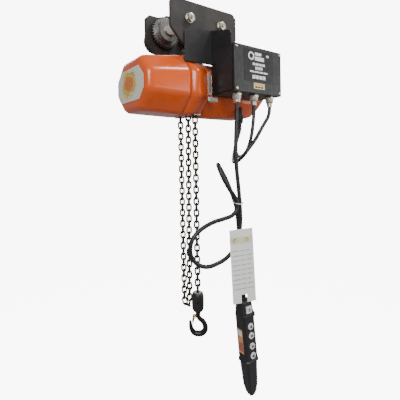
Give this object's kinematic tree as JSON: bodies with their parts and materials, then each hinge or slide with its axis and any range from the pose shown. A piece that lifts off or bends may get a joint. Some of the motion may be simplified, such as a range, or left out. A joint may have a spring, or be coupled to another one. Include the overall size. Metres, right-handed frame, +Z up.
{
  "type": "electric chain hoist with motor trolley",
  "caption": "Electric chain hoist on a motor trolley, with a control box, a looped pendant cord, a push-button pendant and a swivel hook.",
  "frame": {"origin": "middle of the trolley, on the running surface of the beam's lower flange", "axes": "+X along the beam and the hoist body towards the motor end, -Y towards the control box, +Z up"},
  "size_m": [0.515, 0.4912, 1.2487],
  "materials": {
    "orange_paint": "gloss",
    "black_paint": "satin",
    "grey_paint": "satin",
    "zinc": "satin",
    "steel": "satin",
    "chain_steel": "oiled",
    "aluminium": "satin",
    "winding": "varnished",
    "black_rubber": "matt",
    "black_plastic": "matt",
    "white_plastic": "satin",
    "tag_stock": "satin",
    "badge_print": "satin"
  },
  "bodies": {
    "frame": {"side_plate_front": "grey_paint", "side_plate_rear": "grey_paint", "axle_front_left": "zinc", "axle_front_right": "zinc", "axle_rear_left": "zinc", "axle_rear_right": "zinc", "trolley_gear_case": "black_paint", "trolley_motor": "black_paint", "suspension_pin": "zinc", "suspension_lug": "steel", "gear_cover": "orange_paint", "centre_frame": "orange_paint", "motor_cover": "orange_paint", "adapter_plate": "aluminium", "bearing_plate": "aluminium", "end_badge": "badge_print", "rating_plate": "aluminium", "chain_guide": "steel", "hoist_grip_power": "black_rubber", "hoist_grip_control": "black_rubber", "stator": "winding", "brake_coil": "winding", "box_bracket": "black_paint", "control_box": "black_paint", "box_cover": "grey_paint", "contactor": "black_plastic", "side_plug": "zinc", "grip_pendant": "zinc", "grip_power": "zinc", "grip_control": "zinc", "power_cord": "black_rubber", "control_cord": "black_rubber"},
    "wheel_front_left": {"wheel_front_left": "steel"},
    "wheel_front_right": {"wheel_front_right": "steel"},
    "wheel_rear_left": {"wheel_rear_left": "steel"},
    "wheel_rear_right": {"wheel_rear_right": "steel"},
    "trolley_pinion": {"drive_pinion": "steel"},
    "hook_carrier": {"load_chain": "chain_steel", "hook_block": "black_rubber", "chain_collar": "zinc"},
    "slack_loop": {"slack_chain": "chain_steel"},
    "lift_shaft": {"lift_wheel": "steel", "output_gear": "steel"},
    "countershaft": {"countershaft_gear": "steel"},
    "motor_rotor": {"motor_shaft": "steel", "rotor": "steel", "brake_disc": "steel"},
    "swivel_hook": {"hook": "steel", "hook_nut": "zinc"},
    "latch": {"hook_latch": "zinc"},
    "pendant": {"pendant_cord": "black_rubber", "warning_tag": "tag_stock", "cord_relief": "black_rubber", "pendant_back": "black_plastic", "pendant_front": "black_plastic"},
    "power_key": {"button_power": "white_plastic"},
    "up_key": {"button_up": "white_plastic"},
    "down_key": {"button_down": "white_plastic"},
    "left_key": {"button_left": "white_plastic"},
    "right_key": {"button_right": "white_plastic"}
  },
  "joints": [
    {"name": "hook_lift", "type": "slide", "parent": "frame", "child": "hook_carrier", "axis": [0, 0, 1], "range_m": [-0.6, 0.5], "deforming": ["load_chain"]},
    {"name": "slack_travel", "type": "slide", "parent": "frame", "child": "slack_loop", "axis": [0, 0, 1], "range_m": [-0.26, 0.31], "deforming": ["slack_chain"]},
    {"name": "lift_wheel_turn", "type": "hinge", "parent": "frame", "child": "lift_shaft", "pos_m": [-0.05, 0.0025, -0.16], "axis": [1, 0, 0], "range_deg": [-650, 780]},
    {"name": "countershaft_turn", "type": "hinge", "parent": "frame", "child": "countershaft", "pos_m": [-0.1, -0.04723, -0.16523], "axis": [1, 0, 0], "range_deg": [-2010, 1670]},
    {"name": "motor_turn", "type": "hinge", "parent": "frame", "child": "motor_rotor", "pos_m": [0, 0.0025, -0.16], "axis": [1, 0, 0], "range_deg": [-6680, 8020]},
    {"name": "hook_swivel", "type": "hinge", "parent": "hook_carrier", "child": "swivel_hook", "pos_m": [-0.016, -0.042, -0.88], "axis": [0, 0, 1], "continuous": true},
    {"name": "latch_hinge", "type": "hinge", "parent": "swivel_hook", "child": "latch", "pos_m": [-0.02733, -0.03377, -0.912], "axis": [-0.5878, -0.809, 0], "range_deg": [0, 32], "stiffness_Nm_per_rad": 0.02},
    {"name": "pendant_swing", "type": "hinge", "parent": "frame", "child": "pendant", "pos_m": [0.0475, -0.175, -0.221], "axis": [-1, 0, 0], "range_deg": [-3, 30]},
    {"name": "press_power", "type": "slide", "parent": "pendant", "child": "power_key", "axis": [0, 1, 0], "range_m": [0, 0.002], "stiffness_N_per_m": 300},
    {"name": "press_up", "type": "slide", "parent": "pendant", "child": "up_key", "axis": [0, 1, 0], "range_m": [0, 0.002], "stiffness_N_per_m": 300},
    {"name": "press_down", "type": "slide", "parent": "pendant", "child": "down_key", "axis": [0, 1, 0], "range_m": [0, 0.002], "stiffness_N_per_m": 300},
    {"name": "press_left", "type": "slide", "parent": "pendant", "child": "left_key", "axis": [0, 1, 0], "range_m": [0, 0.002], "stiffness_N_per_m": 300},
    {"name": "press_right", "type": "slide", "parent": "pendant", "child": "right_key", "axis": [0, 1, 0], "range_m": [0, 0.002], "stiffness_N_per_m": 300},
    {"name": "pinion_turn", "type": "hinge", "parent": "frame", "child": "trolley_pinion", "pos_m": [0, 0.06, 0.06828], "axis": [0, 1, 0], "continuous": true},
    {"name": "wheel_rear_left_turn", "type": "hinge", "parent": "frame", "child": "wheel_rear_left", "pos_m": [-0.062, 0.05, 0.038], "axis": [0, 1, 0], "continuous": true},
    {"name": "wheel_rear_right_turn", "type": "hinge", "parent": "frame", "child": "wheel_rear_right", "pos_m": [0.062, 0.05, 0.038], "axis": [0, 1, 0], "continuous": true},
    {"name": "wheel_front_left_turn", "type": "hinge", "parent": "frame", "child": "wheel_front_left", "pos_m": [-0.062, -0.05, 0.038], "axis": [0, 1, 0], "continuous": true},
    {"name": "wheel_front_right_turn", "type": "hinge", "parent": "frame", "child": "wheel_front_right", "pos_m": [0.062, -0.05, 0.038], "axis": [0, 1, 0], "continuous": true}
  ],
  "couplings": [
    {"joint": "slack_travel", "follows": "hook_lift", "ratio": -0.5},
    {"joint": "lift_wheel_turn", "follows": "hook_lift", "rad_per_m": -22.472},
    {"joint": "countershaft_turn", "follows": "hook_lift", "rad_per_m": 57.785},
    {"joint": "motor_turn", "follows": "hook_lift", "rad_per_m": -231.14},
    {"joint": "wheel_rear_left_turn", "follows": "pinion_turn", "ratio": -0.35294},
    {"joint": "wheel_rear_right_turn", "follows": "pinion_turn", "ratio": -0.35294}
  ]
}
